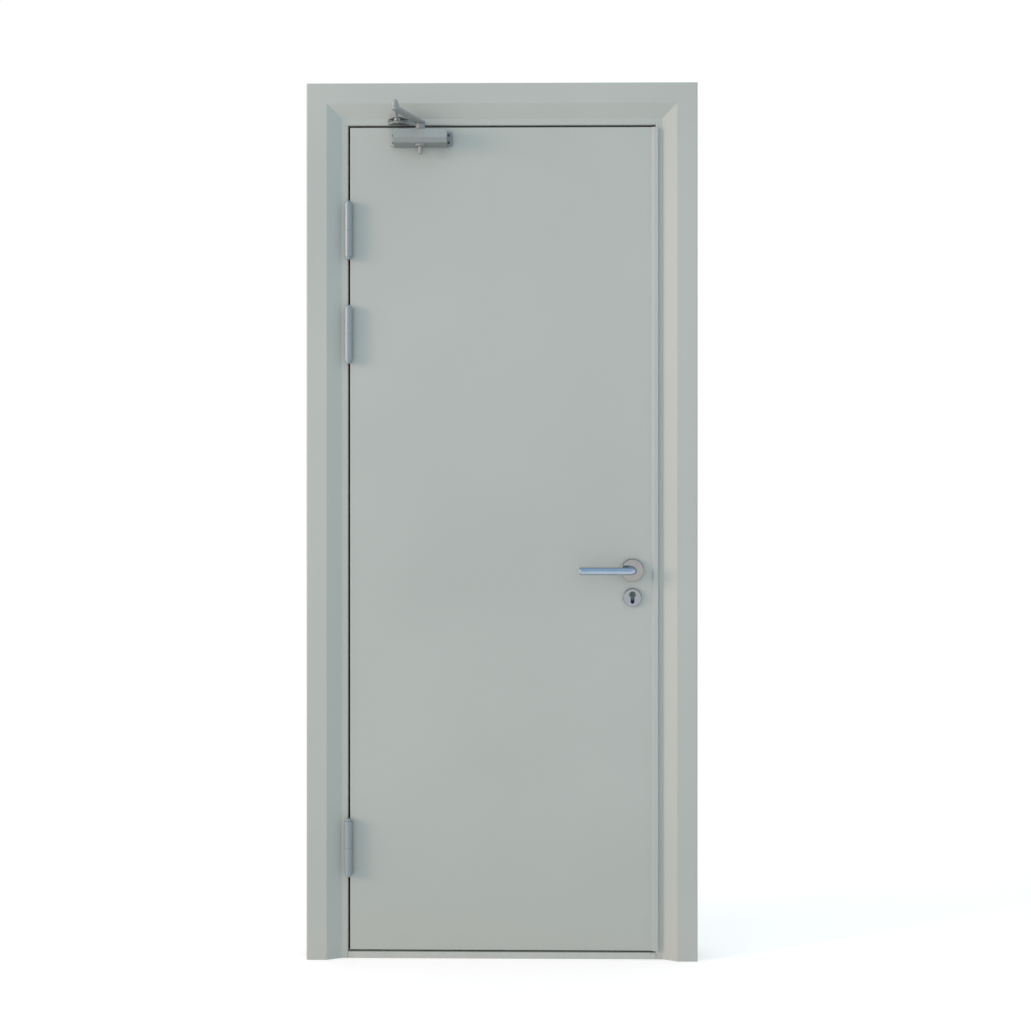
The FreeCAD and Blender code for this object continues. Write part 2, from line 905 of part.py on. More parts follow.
def closer_lug(sign):
    """Screw lug at one end of the body, with two screw holes."""
    near = spindle_x + sign * closer_length / 2
    far = near + sign * lug_length
    middle = (closer_top + closer_bottom) / 2
    corners = [
        (near, middle - lug_height / 2, 0),
        (far, middle - lug_height / 2, lug_round),
        (far, middle + lug_height / 2, lug_round),
        (near, middle + lug_height / 2, 0),
    ]
    lug = prism(corners, front, V(0, lug_thickness, 0), V(0, y_face - lug_thickness, 0))
    for up in (-1, 1):
        lug = lug.cut(bar_through(
            screw_hole_radius,
            spindle_x + sign * screw_across / 2,
            middle + up * screw_up / 2,
            y_face - lug_thickness - past,
            y_face + past,
        ))
    return one_solid(lug)


def closer_spindle():
    """Upright spindle through the body, whose lower end shows as a nub."""
    top = hub_bottom + hub_height / 2
    nub_end = closer_bottom - spindle_nub_length
    shaft = post(spindle_radius, spindle_x, spindle_y, closer_bottom, top)
    nub = post(spindle_nub_radius, spindle_x, spindle_y, nub_end, closer_bottom)
    nub = nub.makeChamfer(spindle_nub_chamfer, edges_at(nub, "Z", nub_end))
    return one_solid(shaft.fuse(nub))


def arm_plate(x0, y0, width0, x1, y1, width1, z0, z1):
    """A flat bar between two upright axes, tapered in plan and round at both ends."""
    along = V(x1 - x0, y1 - y0, 0).normalize()
    left = V(-along.y, along.x, 0)
    start = V(x0, y0, z0)
    end = V(x1, y1, z0)
    corners = [
        start + left * (width0 / 2),
        start - left * (width0 / 2),
        end - left * (width1 / 2),
        end + left * (width1 / 2),
    ]
    edges = [
        Part.Arc(corners[0], start - along * (width0 / 2), corners[1]).toShape(),
        Part.LineSegment(corners[1], corners[2]).toShape(),
        Part.Arc(corners[2], end + along * (width1 / 2), corners[3]).toShape(),
        Part.LineSegment(corners[3], corners[0]).toShape(),
    ]
    return Part.Face(Part.Wire(edges)).extrude(V(0, 0, z1 - z0))


def main_arm():
    """Flat arm on a round hub that grips the spindle."""
    bar = arm_plate(spindle_x, spindle_y, arm_root_width, elbow_x, elbow_y, arm_tip_width,
                    arm_bottom, arm_top)
    hub = post(hub_radius, spindle_x, spindle_y, hub_bottom, arm_bottom)
    socket = post(spindle_radius + running, spindle_x, spindle_y, hub_bottom - past,
                  hub_bottom + hub_height / 2)
    return one_solid(bar.fuse(hub).cut(socket))


def elbow_rivet():
    """Rivet head under the main arm at the elbow."""
    low = arm_bottom - elbow_rivet_height
    head = post(elbow_rivet_radius, elbow_x, elbow_y, low, arm_bottom)
    return one_solid(head.makeFillet(elbow_rivet_round, edges_at(head, "Z", low)))


def forearm():
    """Round rod between an eye at the shoe and an eye at the elbow."""
    middle = (forearm_bottom + forearm_top) / 2
    start = V(shoe_x, shoe_y, middle)
    end = V(elbow_x, elbow_y, middle)
    along = (end - start).normalize()
    rod_start = start + along * (forearm_eye_radius / 2)
    rod_length = (end - start).Length - forearm_eye_radius / 2 - forearm_elbow_eye_radius / 2
    rod = Part.makeCylinder(forearm_rod_radius, rod_length, rod_start, along)
    shoe_eye = post(forearm_eye_radius, shoe_x, shoe_y, forearm_bottom, forearm_top)
    elbow_eye = post(forearm_elbow_eye_radius, elbow_x, elbow_y, forearm_bottom, forearm_top)
    bore = post(shoe_pin_radius + running, shoe_x, shoe_y, forearm_bottom - past,
                forearm_top + past)
    return one_solid(rod.fuse([shoe_eye, elbow_eye]).cut(bore))


def elbow_boss():
    """Screw boss with a pointed end on top of the elbow."""
    top = forearm_top + elbow_boss_height
    drum = post(elbow_boss_radius, elbow_x, elbow_y, forearm_top, top)
    point = Part.makeCone(elbow_boss_radius, elbow_cone_tip, elbow_cone_height,
                          V(elbow_x, elbow_y, top))
    return one_solid(drum.fuse(point))


def shoe_levels():
    """Bottom and top of the shoe's plate, centred on the forearm's eye."""
    middle = (forearm_bottom + forearm_top) / 2
    return middle - shoe_height / 2, middle + shoe_height / 2


def closer_shoe():
    """Bracket screwed to the head: a back plate with two ears that taper to the pin."""
    low, high = shoe_levels()
    plate_front = y_face - shoe_plate_thickness
    plate = block(
        shoe_x - shoe_left_reach,
        shoe_x + shoe_right_reach + shoe_plate_extra,
        plate_front,
        y_face,
        low,
        high,
    )
    tip = shoe_ear_tip
    corners = [
        (shoe_x - shoe_left_reach, plate_front, 0),
        (shoe_x - tip, shoe_y - tip, shoe_ear_round),
        (shoe_x + tip, shoe_y - tip, shoe_ear_round),
        (shoe_x + shoe_right_reach, plate_front, 0),
    ]
    shoe = plate
    for z0 in (low, high - shoe_ear_thickness):
        shoe = shoe.fuse(prism(corners, plan, V(0, 0, shoe_ear_thickness), V(0, 0, z0)))
    hole = post(shoe_pin_radius + running, shoe_x, shoe_y, low - past, high + past)
    return one_solid(shoe.cut(hole))


def shoe_pin():
    """Headed pin through both ears and the forearm's eye."""
    low, high = shoe_levels()
    pin = post(shoe_pin_radius, shoe_x, shoe_y, low, high)
    top_head = post(shoe_pin_head, shoe_x, shoe_y, high, high + shoe_pin_head_height)
    foot = post(shoe_pin_head, shoe_x, shoe_y, low - shoe_pin_head_height, low)
    return one_solid(pin.fuse([top_head, foot]))


pieces = {}
pieces["hinge_jamb"] = hinge_jamb()
pieces["lock_jamb"] = lock_jamb()
pieces["frame_head"] = frame_head()
pieces["sill"] = sill()
pieces["seal_hinge_side"] = upright_seal()
pieces["seal_lock_side"] = mirrored(upright_seal())
pieces["seal_head"] = level_seal(opening_top, -1)
pieces["seal_sill"] = level_seal(sill_height, 1)
pieces["wall_anchors_hinge_side"] = wall_anchors()
pieces["wall_anchors_lock_side"] = mirrored(wall_anchors())
pieces["strike_plate"] = strike_plate()
pieces["strike_box"] = strike_box()
for hinge_name, hinge_height in hinge_heights.items():
    pieces[hinge_name + "_frame_half"] = hinge_frame_half(hinge_height)
    pieces[hinge_name + "_leaf_half"] = hinge_leaf_half(hinge_height)
pieces["leaf_front_skin"] = leaf_front_skin()
pieces["leaf_back_skin"] = leaf_back_skin()
pieces["lock_edge_channel"] = lock_edge_channel()
pieces["lock_case"] = lock_case()
pieces["leaf_core"] = leaf_core(pieces["lock_case"], pieces["lock_edge_channel"])
pieces["lock_forend"] = lock_forend()
pieces["latch_bolt"] = latch_bolt()
pieces["dead_bolt"] = dead_bolt()
pieces["front_lever_rose"] = lever_rose(y_face, -1)
pieces["back_lever_rose"] = lever_rose(y_leaf_back, 1)
pieces["front_keyhole_rose"] = keyhole_rose(y_face, -1)
pieces["back_keyhole_rose"] = keyhole_rose(y_leaf_back, 1)
pieces["lock_cylinder"] = lock_cylinder()
pieces["front_lever"] = lever(y_face, -1)
pieces["back_lever"] = lever(y_leaf_back, 1)
pieces["lever_spindle"] = lever_spindle()
pieces["closer_body"] = closer_body()
pieces["closer_lug_hinge_side"] = closer_lug(-1)
pieces["closer_lug_lock_side"] = closer_lug(1)
pieces["closer_spindle"] = closer_spindle()
pieces["main_arm"] = main_arm()
pieces["elbow_rivet"] = elbow_rivet()
pieces["forearm"] = forearm()
pieces["elbow_boss"] = elbow_boss()
pieces["closer_shoe"] = closer_shoe()
pieces["shoe_pin"] = shoe_pin()

os.makedirs("parts", exist_ok=True)
for piece_name, shape in pieces.items():
    shape.exportStep("parts/" + piece_name + ".step")
    box = shape.BoundBox
    print(piece_name, len(shape.Solids), shape.isValid(), round(shape.Volume),
          [round(v, 1) for v in (box.XMin, box.YMin, box.ZMin, box.XMax, box.YMax, box.ZMax)])
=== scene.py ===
import json
import math

import bpy
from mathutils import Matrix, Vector


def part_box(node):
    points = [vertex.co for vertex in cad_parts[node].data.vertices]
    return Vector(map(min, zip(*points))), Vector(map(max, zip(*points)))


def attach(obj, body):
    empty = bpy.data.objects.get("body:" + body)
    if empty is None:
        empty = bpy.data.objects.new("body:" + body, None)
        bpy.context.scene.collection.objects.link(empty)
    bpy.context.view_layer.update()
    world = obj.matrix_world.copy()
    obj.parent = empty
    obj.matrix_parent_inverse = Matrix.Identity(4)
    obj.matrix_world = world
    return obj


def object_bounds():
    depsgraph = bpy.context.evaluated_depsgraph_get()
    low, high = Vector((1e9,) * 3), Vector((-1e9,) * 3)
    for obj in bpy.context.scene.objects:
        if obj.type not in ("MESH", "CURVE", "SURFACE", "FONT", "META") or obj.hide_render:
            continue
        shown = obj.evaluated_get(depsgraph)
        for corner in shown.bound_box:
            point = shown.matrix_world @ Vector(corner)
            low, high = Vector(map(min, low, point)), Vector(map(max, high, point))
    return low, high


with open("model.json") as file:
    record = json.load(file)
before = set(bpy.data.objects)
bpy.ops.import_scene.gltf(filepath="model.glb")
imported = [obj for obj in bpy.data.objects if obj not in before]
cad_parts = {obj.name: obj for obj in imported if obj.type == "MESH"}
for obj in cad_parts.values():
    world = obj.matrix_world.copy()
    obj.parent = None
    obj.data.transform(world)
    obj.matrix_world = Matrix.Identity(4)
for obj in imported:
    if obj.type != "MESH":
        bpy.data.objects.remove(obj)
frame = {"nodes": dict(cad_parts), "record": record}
cad_low, cad_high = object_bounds()
nodes = frame["nodes"]

# Camera, from the photograph taken as 1031 by 1024 pixels, rows and columns counted from its top left
photo_width = 1031
photo_height = 1024
film_width = 36.0
horizon_row = 451.75
lens_column = 496.77
pixels_per_metre = 391.5
eye_height = 1.300
eye_across = 0.040
eye_to_face = 3.809
eye_turn = math.radians(0.79)

# Lamp, in metres and watts
lamp_place = (-11.6, -4.2, 3.3)
lamp_aim = (0.0, 0.0, 1.3)
lamp_width = 5.0
lamp_height = 3.4
lamp_colour = (1.0, 0.716, 0.571)
lamp_watts = 900

# Surroundings and floor
white = (1.0, 1.0, 1.0)
bluish_daylight = (0.768, 0.836, 0.865)
floor_reach = 14.0
floor_drop = 0.0005
floor_grey = 0.8
floor_glow = 0.38

# Boards that only reflections show: half their width, and the y and z of their near and far edges
board_half = 9.0
sky_board_near = (-9.0, 1.2)
sky_board_far = (1.0, 8.0)
sky_board_glow = (0.50, 0.70, 0.88)
ground_board_near = (-9.0, 0.002)
ground_board_far = (-5.0, 0.002)
ground_board_glow = (0.84, 1.03, 1.34)

# Sizes that the boxes of the CAD nodes don't give, in metres, but for the slant, a slope, and the anchors
doorway_half = 0.3945
hinge_axis_y = -0.050
knuckle_with_cap = 0.0745
washer_gap = 0.001
flap_screw_y = -0.012
flap_screw_inset = 0.010
flap_screw_from_cap = 0.017
lug_screw_across = 0.0715
lug_screw_up = 0.0095
shoe_plate = 0.003
shoe_near_screw_inset = 0.0045
shoe_far_screw_inset = 0.0108
valve_screw_up = 0.008
forend_slant = 0.052
plate_screw_inset = 0.009
forend_screw_over_cylinder = 0.005
neck_screw_out = 0.006
sill_tread = 0.016
sill_screw_y = -0.012
sill_screw_columns = (-0.3, 0.0, 0.3)
anchors_a_side = 4
anchor_tall = 0.060
anchor_weld_inset = 0.006

# The frame's wall side along a mitre: how far in from the outer edge, and the y there
mitre_line = (
    (0.004, -0.0526), (0.052, -0.0526), (0.0885, -0.0366), (0.1031, -0.0366),
    (0.1031, 0.0174), (0.1211, 0.0174), (0.1211, 0.0526), (0.034, 0.0526),
)

# Added pieces are smooth but for edges that fold by more than this, in radians
sharp_fold = 0.6

to_left = Vector((-1, 0, 0))
to_right = Vector((1, 0, 0))
to_viewer = Vector((0, -1, 0))
upward = Vector((0, 0, 1))
downward = Vector((0, 0, -1))


def centre_of(node):
    """Middle of a CAD node's box."""
    low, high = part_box(node)
    return (low + high) / 2


def half_width(node):
    """Half of a CAD node's size across the door."""
    low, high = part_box(node)
    return (high.x - low.x) / 2


# Building blocks of the node trees

def place(tree, kind, links=None, **values):
    """A new node with its inputs linked or set by name, and its own settings given in small letters."""
    node = tree.nodes.new(kind)
    for label, value in values.items():
        setattr(node, label, value)
    for label, source in (links or {}).items():
        target = node.inputs[label]
        if isinstance(source, bpy.types.NodeSocket):
            tree.links.new(source, target)
        else:
            target.default_value = source
    return node


def worked_out(tree, operation, first, second):
    """One step of arithmetic on two numbers or sockets."""
    return place(tree, "ShaderNodeMath", {0: first, 1: second}, operation=operation).outputs[0]


def blended(tree, share, under, over):
    """Two colours, each a socket or red, green and blue, mixed by a share."""
    mix = place(tree, "ShaderNodeMix", {"Factor": share}, data_type="RGBA")
    for label, colour in (("A", under), ("B", over)):
        if isinstance(colour, bpy.types.NodeSocket):
            tree.links.new(colour, mix.inputs[label])
        else:
            mix.inputs[label].default_value = (*colour, 1)
    return mix.outputs["Result"]


def finish(name, metallic=0.0):
    """A new material, with its tree and its shader, which is as metallic as it is given."""
    material = bpy.data.materials.new(name)
    material.use_nodes = True
    tree = material.node_tree
    shader = tree.nodes["Principled BSDF"]
    shader.inputs["Metallic"].default_value = metallic
    return material, tree, shader


# Camera, light and surroundings

def set_up_camera():
    """A level camera, lower and farther off than the photograph's.

    Its lens and shift bring the door back to the photograph's pixels and keep uprights parallel.
    """
    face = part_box("lock_jamb")[0].y
    focal_pixels = pixels_per_metre * eye_to_face
    data = bpy.data.cameras.new("camera")
    data.sensor_fit = "HORIZONTAL"
    data.sensor_width = film_width
    data.lens = focal_pixels * film_width / photo_width
    data.shift_x = (photo_width / 2 - lens_column) / photo_width
    data.shift_y = (horizon_row - photo_height / 2) / photo_width
    camera = bpy.data.objects.new("camera", data)
    camera.location = (eye_across, face - eye_to_face, eye_height)
    camera.rotation_euler = (math.pi / 2, 0, eye_turn)
    bpy.context.scene.collection.objects.link(camera)
    bpy.context.scene.camera = camera


def light_the_studio():
    """One large soft lamp on the left, which faces the door."""
    data = bpy.data.lights.new("lamp_left", "AREA")
    data.shape = "RECTANGLE"
    data.size = lamp_width
    data.size_y = lamp_height
    data.color = lamp_colour
    data.energy = lamp_watts
    lamp = bpy.data.objects.new("lamp_left", data)
    lamp.location = lamp_place
    lamp.rotation_mode = "QUATERNION"
    lamp.rotation_quaternion = (Vector(lamp_aim) - Vector(lamp_place)).to_track_quat("-Z", "Z")
    lamp.visible_camera = False
    bpy.context.scene.collection.objects.link(lamp)


def seen_by_eye_or_reflection(tree):
    """1 for rays from the camera and for rays that metal or glass sends on, 0 for others."""
    path = tree.nodes.new("ShaderNodeLightPath")
    total = path.outputs["Is Camera Ray"]
    for kind in ("Is Glossy Ray", "Is Transmission Ray"):
        total = worked_out(tree, "MAXIMUM", total, path.outputs[kind])
    return total


def white_surroundings():
    """White to the eye and in reflections, and a bluish daylight on everything else."""
    world = bpy.data.worlds.new("surroundings")
    world.use_nodes = True
    tree = world.node_tree
    colour = blended(tree, seen_by_eye_or_reflection(tree), bluish_daylight, white)
    tree.links.new(colour, tree.nodes["Background"].inputs["Color"])
    bpy.context.scene.world = world


def flat_sheet(name, half, near, far, material):
    """One flat face across the scene between two edges, each given as its y and z."""
    mesh = bpy.data.meshes.new(name)
    corners = [(-half, *near), (half, *near), (half, *far), (-half, *far)]
    mesh.from_pydata(corners, [], [(0, 1, 2, 3)])
    mesh.materials.append(material)
    sheet = bpy.data.objects.new(name, mesh)
    bpy.context.scene.collection.objects.link(sheet)
    return sheet


def pale_floor():
    """A plain floor just under the sill, which keeps the door's shadow and is white away from it."""
    material, tree, shader = finish("floor_white")
    shader.inputs["Base Color"].default_value = (floor_grey, floor_grey, floor_grey, 1)
    shader.inputs["Roughness"].default_value = 0.9
    shader.inputs["Specular IOR Level"].default_value = 0.0
    shader.inputs["Emission Color"].default_value = (*white, 1)
    glow = worked_out(tree, "MULTIPLY", seen_by_eye_or_reflection(tree), floor_glow)
    tree.links.new(glow, shader.inputs["Emission Strength"])
    near = (-floor_reach, -floor_drop)
    far = (floor_reach, -floor_drop)
    floor = flat_sheet("floor", floor_reach, near, far, material)


def reflected_board(name, near, far, glow):
    """A glowing board that only polished and satin surfaces show."""
    material, _, shader = finish(name + "_glow")
    shader.inputs["Base Color"].default_value = (0, 0, 0, 1)
    shader.inputs["Emission Color"].default_value = (*glow, 1)
    shader.inputs["Emission Strength"].default_value = 1.0
    board = flat_sheet(name, board_half, near, far, material)
    board.visible_camera = False
    board.visible_diffuse = False
    board.visible_shadow = False


def reflected_surroundings():
    """The sky over the viewer's head, and the bluish ground before the door, for the polished metal."""
    reflected_board("sky_board", sky_board_near, sky_board_far, sky_board_glow)
    reflected_board("ground_board", ground_board_near, ground_board_far, ground_board_glow)


# Effects that several finishes share

def shared_effect(name, numbers, vectors, outputs):
    """An empty shader node group with named number and vector inputs and number outputs."""
    group = bpy.data.node_groups.new(name, "ShaderNodeTree")
    for label, value in vectors.items():
        socket = group.interface.new_socket(label, in_out="INPUT", socket_type="NodeSocketVector")
        socket.default_value = value
    for label, value in numbers.items():
        socket = group.interface.new_socket(label, in_out="INPUT", socket_type="NodeSocketFloat")
        socket.default_value = value
    for label in outputs:
        group.interface.new_socket(label, in_out="OUTPUT", socket_type="NodeSocketFloat")
    entry = group.nodes.new("NodeGroupInput")
    way_out = group.nodes.new("NodeGroupOutput")
    return group, entry, way_out


def clouds(tree, where, scale, detail, roughness):
    """Soft noise between 0 and 1."""
    return place(tree, "ShaderNodeTexNoise", {
        "Vector": where, "Scale": scale, "Detail": detail, "Roughness": roughness,
    }).outputs["Fac"]


def make_spray_grain():
    """Sprayed paint: the coat's fine skin, a slow drift of its tone, and specks of dust near the floor."""
    group, entry, way_out = shared_effect(
        "spray_grain", {"Grain": 900.0, "Drift": 1.4}, {}, ("Skin", "Cloud", "Dust")
    )
    dust_height = 0.22
    where = place(group, "ShaderNodeTexCoord").outputs["Object"]
    skin = clouds(group, where, entry.outputs["Grain"], detail=2.0, roughness=0.45)
    cloud = clouds(group, where, entry.outputs["Drift"], detail=2.0, roughness=0.5)
    height = place(group, "ShaderNodeSeparateXYZ", {"Vector": where}).outputs["Z"]
    low = place(group, "ShaderNodeMapRange", {
        "Value": height, "From Min": dust_height, "From Max": 0.0, "To Min": 0.0, "To Max": 1.0,
    }, interpolation_type="SMOOTHSTEP").outputs["Result"]
    specks = clouds(group, where, scale=38.0, detail=6.0, roughness=0.7)
    group.links.new(skin, way_out.inputs["Skin"])
    group.links.new(cloud, way_out.inputs["Cloud"])
    group.links.new(worked_out(group, "MULTIPLY", low, specks), way_out.inputs["Dust"])
    return group


def make_brush_lines():
    """Fine polishing lines: noise drawn out along one direction by the stretch that is given."""
    group, entry, way_out = shared_effect(
        "brush_lines", {"Fineness": 1.0}, {"Stretch": (20.0, 1500.0, 1500.0)}, ("Line", "Smear")
    )
    where = place(group, "ShaderNodeTexCoord").outputs["Object"]
    drawn = place(group, "ShaderNodeVectorMath", {0: where, 1: entry.outputs["Stretch"]},
                  operation="MULTIPLY").outputs[0]
    line = clouds(group, drawn, entry.outputs["Fineness"], detail=3.0, roughness=0.6)
    smear = clouds(group, where, scale=60.0, detail=4.0, roughness=0.6)
    group.links.new(line, way_out.inputs["Line"])
    group.links.new(smear, way_out.inputs["Smear"])
    return group


def make_turned_rings():
    """Lathe marks: fine rings about an axis that runs through the leaf at a given centre."""
    group, entry, way_out = shared_effect(
        "turned_rings", {"Rings": 2600.0}, {"Centre": (0.0, 0.0, 0.0)}, ("Ring", "Smear", "Radius")
    )
    where = place(group, "ShaderNodeTexCoord").outputs["Object"]
    from_axis = place(group, "ShaderNodeVectorMath", {0: where, 1: entry.outputs["Centre"]},
                      operation="SUBTRACT").outputs[0]
    flat = place(group, "ShaderNodeVectorMath", {0: from_axis, 1: (1.0, 0.0, 1.0)},
                 operation="MULTIPLY").outputs[0]
    radius = place(group, "ShaderNodeVectorMath", {0: flat}, operation="LENGTH").outputs["Value"]
    rings = worked_out(group, "MULTIPLY", radius, entry.outputs["Rings"])
    ring = place(group, "ShaderNodeTexNoise", {"W": rings, "Scale": 1.0, "Detail": 3.0},
                 noise_dimensions="1D").outputs["Fac"]
    smear = clouds(group, where, scale=70.0, detail=4.0, roughness=0.6)
    group.links.new(ring, way_out.inputs["Ring"])
    group.links.new(radius, way_out.inputs["Radius"])
    group.links.new(smear, way_out.inputs["Smear"])
    return group


def make_upward_cover():
    """1 where a surface looks up and 0 where it looks down.

    Its two inputs are the upward parts of the normal between which it goes from 0 to 1. It places painted
    sky light on silver paint and painted shade on the rims of turned metal.
    """
    group, entry, way_out = shared_effect("upward_cover", {"Bare": -0.3, "Covered": 0.15}, {}, ("Cover",))
    facing = place(group, "ShaderNodeTexCoord").outputs["Normal"]
    upward_part = place(group, "ShaderNodeSeparateXYZ", {"Vector": facing}).outputs["Z"]
    cover = place(group, "ShaderNodeMapRange", {
        "Value": upward_part, "From Min": entry.outputs["Bare"], "From Max": entry.outputs["Covered"],
    })
    group.links.new(cover.outputs["Result"], way_out.inputs["Cover"])
    return group


def make_cast_grain():
    """Silver paint over cast metal: small flakes, and the soft lumps of the casting under them."""
    group, entry, way_out = shared_effect(
        "cast_grain", {"Flakes": 2600.0, "Lumps": 320.0}, {}, ("Flake", "Lump")
    )
    where = place(group, "ShaderNodeTexCoord").outputs["Object"]
    flake = place(group, "ShaderNodeTexVoronoi", {"Vector": where, "Scale": entry.outputs["Flakes"]})
    lump = clouds(group, where, entry.outputs["Lumps"], detail=3.0, roughness=0.5)
    group.links.new(flake.outputs["Distance"], way_out.inputs["Flake"])
    group.links.new(lump, way_out.inputs["Lump"])
    return group


spray_grain = make_spray_grain()
brush_lines = make_brush_lines()
turned_rings = make_turned_rings()
upward_cover = make_upward_cover()
cast_grain = make_cast_grain()


def effect(tree, group, **inputs):
    """A shared effect placed in a material with its own values."""
    node = tree.nodes.new("ShaderNodeGroup")
    node.node_tree = group
    for label, value in inputs.items():
        node.inputs[label.capitalize()].default_value = value
    return node


# What every finish is put together from

def two_tone(tree, shader, mask, dark, pale, low=0.35, high=0.65):
    """Base colour that runs from dark to pale as the mask goes from low to high."""
    share = place(tree, "ShaderNodeMapRange", {"Value": mask, "From Min": low, "From Max": high})
    tone = blended(tree, share.outputs["Result"], dark, pale)
    tree.links.new(tone, shader.inputs["Base Color"])
    return tone


def laid_over(tree, shader, under, mask, colour):
    """A second colour over the base colour, as far as the mask says."""
    tree.links.new(blended(tree, mask, under, colour), shader.inputs["Base Color"])


def rough_between(tree, shader, mask, smooth, rough, low=0.3, high=0.7):
    """Roughness that runs from smooth to rough as the mask goes from low to high."""
    polish = place(tree, "ShaderNodeMapRange", {
        "Value": mask, "From Min": low, "From Max": high, "To Min": smooth, "To Max": rough,
    }).outputs["Result"]
    tree.links.new(polish, shader.inputs["Roughness"])
    return polish


def raise_skin(tree, shader, height, strength, depth):
    """Bump from a height that is measured in metres once it is multiplied by the depth."""
    bump = place(tree, "ShaderNodeBump", {"Height": height, "Strength": strength, "Distance": depth})
    tree.links.new(bump.outputs["Normal"], shader.inputs["Normal"])


# Recipes for paint, metal, rubber and wool

def sprayed_paint(name, dark, pale, dusty, grain=900.0, metallic=0.0):
    """Satin spray paint on folded sheet, a little dusty near the floor."""
    material, tree, shader = finish(name, metallic)
    spray = effect(tree, spray_grain, grain=grain)
    tone = two_tone(tree, shader, spray.outputs["Cloud"], dark, pale)
    laid_over(tree, shader, tone, spray.outputs["Dust"], dusty)
    rough_between(tree, shader, spray.outputs["Cloud"], smooth=0.42, rough=0.52)
    raise_skin(tree, shader, spray.outputs["Skin"], strength=0.25, depth=0.00006)
    return material


def grime_in_joggle(material, grime):
    """Painted shade on the slope of the lock side's joggle, which looks back towards the hinges and the
    lamp, so that the slope doesn't show bright.
    """
    clean_facing = -0.1
    grimy_facing = -0.6
    tree = material.node_tree
    shader = tree.nodes["Principled BSDF"]
    coordinates = place(tree, "ShaderNodeTexCoord")
    facing = place(tree, "ShaderNodeSeparateXYZ", {"Vector": coordinates.outputs["Normal"]}).outputs["X"]
    across = place(tree, "ShaderNodeSeparateXYZ", {"Vector": coordinates.outputs["Object"]}).outputs["X"]
    slope = place(tree, "ShaderNodeMapRange", {
        "Value": facing, "From Min": clean_facing, "From Max": grimy_facing,
    }).outputs["Result"]
    lock_side = worked_out(tree, "GREATER_THAN", across, 0.0)
    mask = worked_out(tree, "MULTIPLY", slope, lock_side)
    laid_over(tree, shader, shader.inputs["Base Color"].links[0].from_socket, mask, grime)


def brushed_metal(name, dark, pale, stretch, smooth, rough):
    """Metal with polishing lines that run along its length."""
    material, tree, shader = finish(name, metallic=1.0)
    brush = effect(tree, brush_lines, stretch=stretch)
    two_tone(tree, shader, brush.outputs["Smear"], dark, pale)
    rough_between(tree, shader, brush.outputs["Line"], smooth, rough)
    raise_skin(tree, shader, brush.outputs["Line"], strength=0.2, depth=0.00002)
    return material


def turned_metal(name, dark, pale, tarnish, centre, bright_to, tarnished_from, smooth, rough):
    """Metal with lathe rings, bright out to one radius, and dull and darkened by painted shade from another.

    What looks down keeps its colour, without the painted shade.
    """
    dulling = 0.3
    material, tree, shader = finish(name, metallic=1.0)
    turned = effect(tree, turned_rings, centre=centre)
    tone = two_tone(tree, shader, turned.outputs["Smear"], dark, pale)
    edge = place(tree, "ShaderNodeMapRange", {
        "Value": turned.outputs["Radius"], "From Min": bright_to, "From Max": tarnished_from,
    }, interpolation_type="SMOOTHSTEP").outputs["Result"]
    top_and_sides = effect(tree, upward_cover, bare=-0.5, covered=-0.05).outputs["Cover"]
    # Painted shade: a dark colour on the rim, at its top and sides.
    laid_over(tree, shader, tone, worked_out(tree, "MULTIPLY", edge, top_and_sides), tarnish)
    polish = rough_between(tree, shader, turned.outputs["Ring"], smooth, rough)
    dulled = worked_out(tree, "ADD", polish, worked_out(tree, "MULTIPLY", edge, dulling))
    tree.links.new(dulled, shader.inputs["Roughness"])
    raise_skin(tree, shader, turned.outputs["Ring"], strength=0.15, depth=0.00002)
    return material


def rose_metal(name, rose, bright_share, **looks):
    """Turned metal for a rose, bright out to a share of its radius, with painted shade at its edge."""
    radius = half_width(rose)
    centre = tuple(centre_of(rose))
    return turned_metal(name, centre=centre, bright_to=bright_share * radius, tarnished_from=radius, **looks)


def cylinder_metal(name, bright_share, tarnished_share, **looks):
    """Turned metal for the lock cylinder, whose rings run about the plug at the top of its face, with
    painted shade that grows away from the plug.
    """
    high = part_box("lock_cylinder")[1]
    radius = half_width("lock_cylinder")
    centre = (centre_of("lock_cylinder").x, high.y, high.z - radius)
    return turned_metal(name, centre=centre, bright_to=bright_share * radius,
                        tarnished_from=tarnished_share * radius, **looks)


def silver_paint(name, dark, pale, dusty, smooth, rough):
    """Metallic paint on a casting, paler on faces that look up, as painted sky light."""
    material, tree, shader = finish(name, metallic=0.15)
    cast = effect(tree, cast_grain)
    tone = two_tone(tree, shader, cast.outputs["Flake"], dark, pale, low=0.1, high=0.6)
    # Painted sky light: faces that look up get the paler colour.
    laid_over(tree, shader, tone, effect(tree, upward_cover).outputs["Cover"], dusty)
    rough_between(tree, shader, cast.outputs["Lump"], smooth, rough)
    raise_skin(tree, shader, cast.outputs["Lump"], strength=0.35, depth=0.00008)
    return material


def zinc_coat(name, dark, pale):
    """Zinc that has gone dull, with its faint crystal pattern."""
    material, tree, shader = finish(name, metallic=1.0)
    where = place(tree, "ShaderNodeTexCoord").outputs["Object"]
    crystal = place(tree, "ShaderNodeTexVoronoi", {"Vector": where, "Scale": 210.0}).outputs["Distance"]
    two_tone(tree, shader, crystal, dark, pale, low=0.0, high=0.7)
    rough_between(tree, shader, crystal, smooth=0.42, rough=0.58, low=0.0, high=0.8)
    raise_skin(tree, shader, crystal, strength=0.1, depth=0.00005)
    return material


def seal_rubber(name, dark, pale):
    """Matt black rubber with a coarse skin."""
    material, tree, shader = finish(name)
    cast = effect(tree, cast_grain, flakes=1200.0, lumps=150.0)
    two_tone(tree, shader, cast.outputs["Lump"], dark, pale)
    rough_between(tree, shader, cast.outputs["Flake"], smooth=0.6, rough=0.8)
    raise_skin(tree, shader, cast.outputs["Flake"], strength=0.3, depth=0.00004)
    return material


